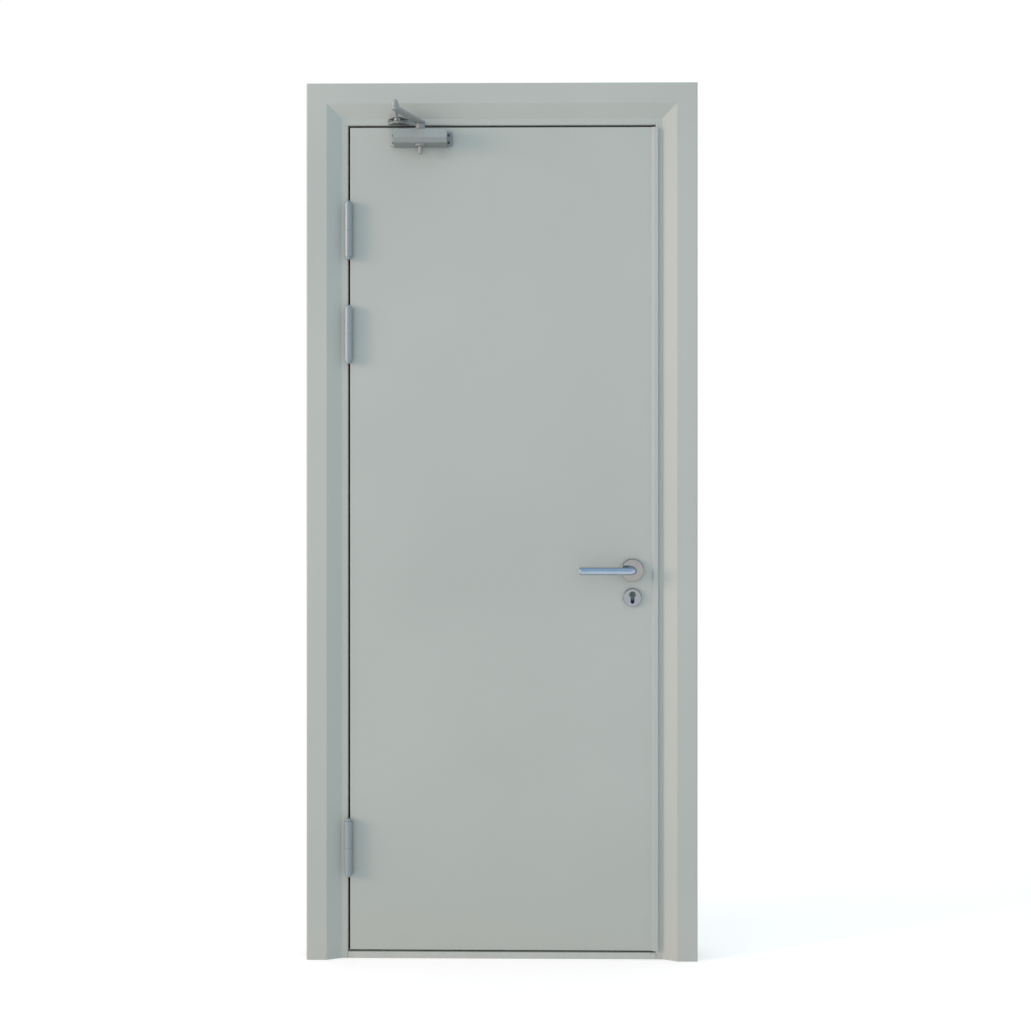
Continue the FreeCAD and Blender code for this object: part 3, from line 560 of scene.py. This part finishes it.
def wool_slab(name, dark, pale):
    """Mineral wool with tangled fibres."""
    material, tree, shader = finish(name)
    brush = effect(tree, brush_lines, stretch=(160.0, 900.0, 260.0))
    two_tone(tree, shader, brush.outputs["Line"], dark, pale)
    rough_between(tree, shader, brush.outputs["Smear"], smooth=0.85, rough=1.0)
    raise_skin(tree, shader, brush.outputs["Line"], strength=0.8, depth=0.0008)
    return material


# The finishes of this door, with colours as shares of red, green and blue

finishes = {}


def coat(name, recipe, **looks):
    """Makes a finish by its recipe and keeps it under its name."""
    finishes[name] = recipe(name, **looks)


def mix_paints():
    """Spray paint of the frame, the sill, the leaf and the hinges."""
    coat("frame_paint", sprayed_paint,
         dark=(0.425, 0.462, 0.442), pale=(0.455, 0.49, 0.468), dusty=(0.47, 0.49, 0.465))
    coat("sill_paint", sprayed_paint,
         dark=(0.425, 0.462, 0.442), pale=(0.455, 0.49, 0.468), dusty=(0.54, 0.56, 0.535))
    coat("leaf_paint", sprayed_paint,
         dark=(0.42, 0.458, 0.438), pale=(0.45, 0.488, 0.468), dusty=(0.45, 0.475, 0.45))
    coat("hinge_paint", sprayed_paint, grain=1500.0, metallic=0.3,
         dark=(0.25, 0.30, 0.32), pale=(0.285, 0.335, 0.36), dusty=(0.25, 0.29, 0.30))
    # Painted shade darkens the slope of the joggle, which faces the lamp.
    grime_in_joggle(finishes["leaf_paint"], grime=(0.344, 0.409, 0.421))


def mix_closer_paints():
    """Silver paint of the closer's body, its arms, its lugs and the screws in the hinge side's lug, all with
    painted sky light on faces that look up. The lugs come as a lit and a shaded copy of one paint, painted
    light on the hinge side and painted shade on the lock side, and the hinge side's screws are paler as
    painted light.
    """
    coat("closer_silver", silver_paint, smooth=0.34, rough=0.46,
         dark=(0.215, 0.245, 0.245), pale=(0.26, 0.29, 0.29), dusty=(0.33, 0.365, 0.36))
    coat("arm_silver", silver_paint, smooth=0.44, rough=0.58,
         dark=(0.2, 0.23, 0.232), pale=(0.26, 0.292, 0.295), dusty=(0.3, 0.328, 0.33))
    # Lit and shaded copies of one paint for the two lugs: painted light on the hinge side, painted shade on
    # the lock side.
    coat("lug_silver", silver_paint, smooth=0.38, rough=0.5,
         dark=(0.35, 0.385, 0.39), pale=(0.41, 0.445, 0.45), dusty=(0.42, 0.455, 0.45))
    coat("lug_in_shade", silver_paint, smooth=0.38, rough=0.5,
         dark=(0.2, 0.22, 0.23), pale=(0.25, 0.27, 0.28), dusty=(0.24, 0.26, 0.265))
    coat("lug_screw_grey", silver_paint, smooth=0.4, rough=0.55,
         dark=(0.15, 0.165, 0.17), pale=(0.2, 0.215, 0.22), dusty=(0.2, 0.215, 0.22))


def polish_metals():
    """Turned and brushed metal of the roses, the cylinder, the levers, the lock, the pins and the screws."""
    coat("rose_steel", rose_metal, rose="front_lever_rose", bright_share=0.94, smooth=0.04, rough=0.07,
         dark=(0.33, 0.316, 0.305), pale=(0.355, 0.34, 0.33), tarnish=(0.18, 0.19, 0.19))
    coat("keyhole_rose_steel", rose_metal, rose="front_keyhole_rose", bright_share=0.92,
         smooth=0.05, rough=0.08,
         dark=(0.32, 0.32, 0.325), pale=(0.345, 0.345, 0.35), tarnish=(0.16, 0.17, 0.17))
    # Painted shade: the cylinder is coloured dark as if it sat in the shade of its hole, and darker still
    # away from the plug.
    coat("cylinder_nickel", cylinder_metal, bright_share=0.9, tarnished_share=2.4, smooth=0.35, rough=0.5,
         dark=(0.095, 0.11, 0.105), pale=(0.125, 0.14, 0.135), tarnish=(0.03, 0.045, 0.055))
    lines_across = (18.0, 1600.0, 1600.0)
    lines_upright = (1600.0, 1600.0, 18.0)
    # Painted reflection: the lever's steel is tinted blue for the sky it reflects.
    coat("lever_steel", brushed_metal, stretch=lines_across, smooth=0.18, rough=0.24,
         dark=(0.36, 0.42, 0.49), pale=(0.39, 0.45, 0.53))
    coat("lock_steel", brushed_metal, stretch=lines_upright, smooth=0.28, rough=0.4,
         dark=(0.42, 0.42, 0.41), pale=(0.56, 0.56, 0.54))
    coat("pin_steel", brushed_metal, stretch=lines_upright, smooth=0.25, rough=0.38,
         dark=(0.45, 0.46, 0.46), pale=(0.6, 0.6, 0.6))
    coat("screw_steel", brushed_metal, stretch=lines_upright, smooth=0.3, rough=0.45,
         dark=(0.34, 0.35, 0.35), pale=(0.48, 0.48, 0.47))
    coat("screw_dark", brushed_metal, stretch=lines_upright, smooth=0.35, rough=0.5,
         dark=(0.05, 0.054, 0.06), pale=(0.1, 0.105, 0.115))
    coat("weld_steel", brushed_metal, stretch=lines_across, smooth=0.35, rough=0.55,
         dark=(0.16, 0.16, 0.165), pale=(0.3, 0.29, 0.28))


def make_zinc_rubber_and_wool():
    """Zinc of the anchors and plates, rubber of the seals and the yellow brown wool in the leaf."""
    coat("zinc_plate", zinc_coat, dark=(0.28, 0.295, 0.315), pale=(0.4, 0.415, 0.43))
    coat("seal_rubber", seal_rubber, dark=(0.012, 0.013, 0.013), pale=(0.032, 0.032, 0.031))
    coat("mineral_wool", wool_slab, dark=(0.25, 0.2, 0.09), pale=(0.52, 0.44, 0.24))


# Nodes that don't take the finish of their slot
own_look = {
    "sill": "sill_paint",
    "front_keyhole_rose": "keyhole_rose_steel",
    "back_keyhole_rose": "keyhole_rose_steel",
    "closer_spindle": "arm_silver",
    # The two lugs take lit and shaded copies of one paint: painted light and painted shade.
    "closer_lug_hinge_side": "lug_silver",
    "closer_lug_lock_side": "lug_in_shade",
}


def dress_nodes():
    """Every CAD node gets the finish of its slot, or one of its own."""
    slot_of = {}
    for part in frame["record"]["subparts"]:
        slot_of[part["node"]] = part["material_slot"]
    for name, node in nodes.items():
        node.data.materials.clear()
        node.data.materials.append(finishes[own_look.get(name, slot_of[name])])


# Geometry trees for small pieces that repeat

def grown_pieces(name, sizes):
    """An empty geometry tree: seats or lines come in with named sizes, finished pieces go out."""
    group = bpy.data.node_groups.new(name, "GeometryNodeTree")
    group.interface.new_socket("Seats", in_out="INPUT", socket_type="NodeSocketGeometry")
    for label, value in sizes.items():
        kind = "NodeSocketInt" if isinstance(value, int) else "NodeSocketFloat"
        socket = group.interface.new_socket(label, in_out="INPUT", socket_type=kind)
        socket.default_value = value
    group.interface.new_socket("Finish", in_out="INPUT", socket_type="NodeSocketMaterial")
    group.interface.new_socket("Pieces", in_out="OUTPUT", socket_type="NodeSocketGeometry")
    return group, group.nodes.new("NodeGroupInput"), group.nodes.new("NodeGroupOutput")


def along_z_only(tree, value):
    """A vector that points up by the value."""
    return place(tree, "ShaderNodeCombineXYZ", {"Z": value}).outputs[0]


def shifted(tree, piece, move, turn=(0.0, 0.0, 0.0)):
    """A mesh moved and turned."""
    return place(tree, "GeometryNodeTransform", {
        "Geometry": piece, "Translation": move, "Rotation": turn,
    }).outputs["Geometry"]


def cut_away(tree, body, cutters):
    """A closed mesh with other closed meshes taken out of it."""
    cut = place(tree, "GeometryNodeMeshBoolean", operation="DIFFERENCE", solver="EXACT")
    tree.links.new(body, cut.inputs["Mesh 1"])
    for cutter in cutters:
        tree.links.new(cutter, cut.inputs["Mesh 2"])
    return cut.outputs["Mesh"]


def by_chance(tree, least, most, seed):
    """A number drawn for each piece."""
    return place(tree, "FunctionNodeRandomValue", {"Min": least, "Max": most, "Seed": seed},
                 data_type="FLOAT").outputs["Value"]


def set_down(tree, entry, way_out, piece, points, turn, size):
    """One piece on each point, made real, smooth but for its sharp edges, and given its finish."""
    links = {"Points": points, "Instance": piece, "Scale": size}
    if turn is not None:
        links["Rotation"] = turn
    spread = place(tree, "GeometryNodeInstanceOnPoints", links)
    real = place(tree, "GeometryNodeRealizeInstances", {"Geometry": spread.outputs["Instances"]})
    round_faces = place(tree, "GeometryNodeSetShadeSmooth", {"Geometry": real.outputs["Geometry"]})
    fold = place(tree, "GeometryNodeInputMeshEdgeAngle").outputs["Unsigned Angle"]
    sharp = place(tree, "FunctionNodeCompare", {"A": fold, "B": sharp_fold},
                  data_type="FLOAT", operation="GREATER_THAN")
    creased = place(tree, "GeometryNodeSetShadeSmooth", {
        "Geometry": round_faces.outputs["Geometry"],
        "Selection": sharp.outputs["Result"],
        "Shade Smooth": False,
    }, domain="EDGE")
    finished = place(tree, "GeometryNodeSetMaterial", {
        "Geometry": creased.outputs["Geometry"], "Material": entry.outputs["Finish"],
    })
    tree.links.new(finished.outputs["Geometry"], way_out.inputs["Pieces"])


def screw_head(tree, entry):
    """A dome one unit across, cut flat just under its widest line, with two crossed slots in its top.

    Its other sizes are shares of that unit, and it is scaled where it is set down.
    """
    buried = 0.04
    blade_share = 0.24
    dome = entry.outputs["Dome"]
    recess = entry.outputs["Recess"]
    ball = place(tree, "GeometryNodeMeshUVSphere", {"Segments": 28, "Rings": 14, "Radius": 0.5})
    flat = place(tree, "ShaderNodeCombineXYZ", {
        "X": 1.0, "Y": 1.0, "Z": worked_out(tree, "MULTIPLY", dome, 2.0),
    })
    head = place(tree, "GeometryNodeTransform", {
        "Geometry": ball.outputs["Mesh"], "Scale": flat.outputs[0],
    })
    under = place(tree, "GeometryNodeMeshCube", {"Size": (2.0, 2.0, 1.0)})
    depth = worked_out(tree, "MULTIPLY", dome, entry.outputs["Recess Depth"])
    blade = place(tree, "ShaderNodeCombineXYZ", {
        "X": recess,
        "Y": worked_out(tree, "MULTIPLY", recess, blade_share),
        "Z": worked_out(tree, "MULTIPLY", depth, 2.0),
    })
    bar = place(tree, "GeometryNodeMeshCube", {"Size": blade.outputs[0]}).outputs["Mesh"]
    cutters = [shifted(tree, under.outputs["Mesh"], (0.0, 0.0, -0.5 - buried))]
    for quarter in (0.0, math.pi / 2):
        cutters.append(shifted(tree, bar, along_z_only(tree, dome), (0.0, 0.0, quarter)))
    return cut_away(tree, head.outputs["Geometry"], cutters)


def make_cross_screws():
    """Raised heads with a cross recess, each turned by chance as a fitter leaves it."""
    tree, entry, way_out = grown_pieces("cross_screws", {
        "Width": 0.006, "Dome": 0.3, "Recess": 0.62, "Recess Depth": 0.6, "Seed": 1,
    })
    head = screw_head(tree, entry)
    outward = place(tree, "GeometryNodeInputNamedAttribute", {"Name": "outward"}, data_type="FLOAT_VECTOR")
    aimed = place(tree, "FunctionNodeAlignRotationToVector", {"Vector": outward.outputs["Attribute"]},
                  axis="Z")
    chance = by_chance(tree, 0.0, math.pi, entry.outputs["Seed"])
    spin = place(tree, "FunctionNodeEulerToRotation", {"Euler": along_z_only(tree, chance)})
    turned = place(tree, "FunctionNodeRotateRotation", {
        "Rotation": aimed.outputs["Rotation"], "Rotate By": spin.outputs["Rotation"],
    }, rotation_space="LOCAL")
    set_down(tree, entry, way_out, head, entry.outputs["Seats"],
             turned.outputs["Rotation"], entry.outputs["Width"])
    return tree


def make_knuckle_washers():
    """A thin ring between the two knuckles of each hinge."""
    tree, entry, way_out = grown_pieces("knuckle_washers", {
        "Radius": 0.0095, "Bore": 0.0061, "Thickness": 0.0009,
    })
    disc = place(tree, "GeometryNodeMeshCylinder", {
        "Vertices": 48, "Radius": entry.outputs["Radius"], "Depth": entry.outputs["Thickness"],
    })
    core = place(tree, "GeometryNodeMeshCylinder", {
        "Vertices": 48, "Radius": entry.outputs["Bore"],
        "Depth": worked_out(tree, "MULTIPLY", entry.outputs["Thickness"], 3.0),
    })
    ring = cut_away(tree, disc.outputs["Mesh"], [core.outputs["Mesh"]])
    set_down(tree, entry, way_out, ring, entry.outputs["Seats"], None, (1.0, 1.0, 1.0))
    return tree


def make_weld_beads():
    """Overlapping ripples of weld along each line."""
    tree, entry, way_out = grown_pieces("weld_beads", {
        "Spacing": 0.002, "Least Radius": 0.0016, "Most Radius": 0.0021, "Seed": 5,
    })
    line = place(tree, "GeometryNodeMeshToCurve", {"Mesh": entry.outputs["Seats"]})
    steps = place(tree, "GeometryNodeCurveToPoints", {
        "Curve": line.outputs["Curve"], "Length": entry.outputs["Spacing"],
    }, mode="LENGTH")
    drop = place(tree, "GeometryNodeMeshIcoSphere", {"Radius": 1.0, "Subdivisions": 2})
    size = by_chance(
        tree, entry.outputs["Least Radius"], entry.outputs["Most Radius"], entry.outputs["Seed"]
    )
    set_down(tree, entry, way_out, drop.outputs["Mesh"], steps.outputs["Points"],
             steps.outputs["Rotation"], size)
    return tree


cross_screws = make_cross_screws()
knuckle_washers = make_knuckle_washers()
weld_beads = make_weld_beads()


def drop_empty_slots(mesh):
    """Takes out the material slots that hold nothing. The faces keep their finish."""
    for i in reversed(range(len(mesh.materials))):
        if mesh.materials[i] is None:
            mesh.materials.pop(index=i)


def grow(name, tree, seats, lines, body, slot, look, **sizes):
    """Grows a geometry tree's pieces on seats, or along lines between them, and leaves one plain mesh.

    A seat is a place and the way that its piece looks. A line is the numbers of the two seats it joins.
    """
    mesh = bpy.data.meshes.new(name)
    mesh.from_pydata([where for where, _ in seats], lines, [])
    outward = mesh.attributes.new("outward", "FLOAT_VECTOR", "POINT")
    for i, (_, way) in enumerate(seats):
        outward.data[i].vector = way
    piece = bpy.data.objects.new(name, mesh)
    bpy.context.scene.collection.objects.link(piece)
    modifier = piece.modifiers.new("grow", "NODES")
    modifier.node_group = tree
    for item in tree.interface.items_tree:
        label = item.name.lower().replace(" ", "_")
        if item.item_type == "SOCKET" and item.in_out == "INPUT" and label in sizes:
            modifier[item.identifier] = sizes[label]
        if item.name == "Finish":
            modifier[item.identifier] = finishes[look]
    grown = piece.evaluated_get(bpy.context.evaluated_depsgraph_get())
    piece.data = bpy.data.meshes.new_from_object(grown)
    piece.modifiers.clear()
    drop_empty_slots(piece.data)
    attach(piece, body)


def screw_in(name, seats, body, slot, look, width, dome, seed):
    """Cross-head screws on seats. The dome is how far a head stands out, as a share of its width."""
    grow(name, cross_screws, seats, [], body, slot, look, width=width, dome=dome, seed=seed)


# Screws of the closer

def lug_screws():
    """Two screws in each lug of the closer's body."""
    spindle = centre_of("closer_spindle")
    # Painted light and shade: the hinge side's lug screws are grey as if lit, the lock side's dark as if in
    # the body's shadow.
    for side, look in (("hinge_side", "lug_screw_grey"), ("lock_side", "screw_dark")):
        lug = "closer_lug_" + side
        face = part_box(lug)[0].y
        middle = centre_of(lug)
        away = math.copysign(lug_screw_across, middle.x - centre_of("closer_body").x)
        seats = [
            (Vector((spindle.x + away, face, middle.z + step)), to_viewer)
            for step in (-lug_screw_up, lug_screw_up)
        ]
        screw_in("lug_screws_" + side, seats, "door_leaf", "closer_silver", look,
                 width=0.0066, dome=0.22, seed=3)


def shoe_screws():
    """Two screws through the plate of the shoe on the frame."""
    low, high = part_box("closer_shoe")
    middle = centre_of("closer_shoe").z
    plate = high.y - shoe_plate
    columns = (high.x - shoe_near_screw_inset, low.x + shoe_far_screw_inset)
    seats = [(Vector((across, plate, middle)), to_viewer) for across in columns]
    screw_in("shoe_screws", seats, "frame", "arm_silver", "screw_steel", width=0.0056, dome=0.28, seed=4)


def closer_end_screws():
    """Two valve screws in the lock end of the closer's body, and the plug in its hinge end."""
    low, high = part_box("closer_body")
    depth = centre_of("closer_spindle").y
    middle = centre_of("closer_lug_lock_side").z
    seats = [
        (Vector((high.x, depth, middle + step)), to_right)
        for step in (-valve_screw_up, valve_screw_up)
    ]
    screw_in("valve_screws", seats, "door_leaf", "closer_silver", "screw_steel",
             width=0.005, dome=0.16, seed=5)
    seats = [(Vector((low.x, depth, middle)), to_left)]
    screw_in("end_plug", seats, "door_leaf", "closer_silver", "screw_steel",
             width=0.018, dome=0.09, seed=6)


def hub_screw():
    """The screw that holds the main arm on its spindle."""
    axis = centre_of("closer_spindle")
    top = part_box("main_arm")[1].z
    seats = [(Vector((axis.x, axis.y, top)), upward)]
    screw_in("hub_screw", seats, "closer_arm", "pin_steel", "screw_steel", width=0.0115, dome=0.34, seed=7)


# Screws and washers of the hinges

def hinge_screws():
    """Three screws through each hinge flap, and a washer between the knuckles."""
    frame_seats = []
    leaf_seats = []
    washers = []
    leaf_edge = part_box("leaf_front_skin")[0].x
    for name in nodes:
        low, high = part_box(name)
        if name.endswith("hinge_frame_half"):
            top = low.z + knuckle_with_cap
            heights = (low.z + flap_screw_from_cap, (low.z + top) / 2, top - flap_screw_inset)
            frame_seats += [(Vector((-doorway_half, flap_screw_y, z)), to_right) for z in heights]
            washers.append((Vector((centre_of(name).x, hinge_axis_y, top + washer_gap / 2)), upward))
        if name.endswith("hinge_leaf_half"):
            heights = (low.z + flap_screw_inset, (low.z + high.z) / 2, high.z - flap_screw_from_cap)
            leaf_seats += [(Vector((leaf_edge, flap_screw_y, z)), to_left) for z in heights]
    screw_in("frame_flap_screws", frame_seats, "frame", "hinge_paint", "screw_steel",
             width=0.0075, dome=0.1, seed=8)
    screw_in("leaf_flap_screws", leaf_seats, "door_leaf", "hinge_paint", "screw_steel",
             width=0.0075, dome=0.1, seed=9)
    grow("hinge_washers", knuckle_washers, washers, [], "frame", "hinge_paint", "hinge_paint")


# Screws of the lock, the strike, the levers and the sill

def forend_screws():
    """Screws of the slanted forend: near its ends, and the one that holds the cylinder."""
    low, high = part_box("lock_forend")
    middle = centre_of("lock_forend")
    slant = Vector((1, forend_slant, 0)).normalized()
    face = high.x - forend_slant * (middle.y - low.y)
    cylinder = centre_of("lock_cylinder").z + forend_screw_over_cylinder
    heights = (low.z + plate_screw_inset, cylinder, high.z - plate_screw_inset)
    seats = [(Vector((face, middle.y, z)), slant) for z in heights]
    screw_in("forend_screws", seats, "door_leaf", "lock_steel", "screw_steel",
             width=0.0078, dome=0.1, seed=10)


def strike_screws():
    """Screws near the ends of the strike plate."""
    low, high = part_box("strike_plate")
    depth = centre_of("strike_plate").y
    heights = (low.z + plate_screw_inset, high.z - plate_screw_inset)
    seats = [(Vector((low.x, depth, z)), to_left) for z in heights]
    screw_in("strike_screws", seats, "frame", "lock_steel", "screw_steel", width=0.0078, dome=0.1, seed=11)


def neck_screws():
    """The small screw under each lever's neck."""
    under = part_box("front_lever")[0].z
    front_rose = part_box("front_lever_rose")[0].y
    back_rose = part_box("back_lever_rose")[1].y
    seats = [
        (Vector((centre_of("front_lever_rose").x, front_rose - neck_screw_out, under)), downward),
        (Vector((centre_of("back_lever_rose").x, back_rose + neck_screw_out, under)), downward),
    ]
    screw_in("neck_screws", seats, "lever_handles", "lever_steel", "screw_dark",
             width=0.0042, dome=0.08, seed=12)


def sill_screws():
    """Screws down through the sill's tread."""
    seats = [(Vector((x, sill_screw_y, sill_tread)), upward) for x in sill_screw_columns]
    screw_in("sill_screws", seats, "frame", "frame_paint", "screw_steel", width=0.0085, dome=0.1, seed=13)


# Welds of the frame

def add_run(seats, lines, places):
    """One weld through places in their order."""
    for i, where in enumerate(places):
        seats.append((where, upward))
        if i:
            lines.append((len(seats) - 2, len(seats) - 1))


def frame_welds():
    """Welds on the wall side: down the mitred corners, and where the wall anchors meet the profile."""
    seats = []
    lines = []
    for sign in (-1, 1):
        corner = [
            Vector((sign * (cad_high.x - inward), depth, cad_high.z - inward))
            for inward, depth in mitre_line
        ]
        add_run(seats, lines, corner)
    for name, sign in (("wall_anchors_hinge_side", -1), ("wall_anchors_lock_side", 1)):
        low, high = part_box(name)
        room_side = high.x if sign < 0 else low.x
        span = (high.z - low.z - anchor_tall) / (anchors_a_side - 1)
        for i in range(anchors_a_side):
            foot = low.z + i * span
            heights = (foot + anchor_weld_inset, foot + anchor_tall - anchor_weld_inset)
            for depth in (low.y, high.y):
                add_run(seats, lines, [Vector((room_side, depth, z)) for z in heights])
    grow("frame_welds", weld_beads, seats, lines, "frame", "zinc_plate", "weld_steel")


mix_paints()
mix_closer_paints()
polish_metals()
make_zinc_rubber_and_wool()
dress_nodes()
lug_screws()
shoe_screws()
closer_end_screws()
hub_screw()
hinge_screws()
forend_screws()
strike_screws()
neck_screws()
sill_screws()
frame_welds()
white_surroundings()
pale_floor()
reflected_surroundings()
light_the_studio()
set_up_camera()
bpy.context.scene.view_settings.view_transform = "Standard"
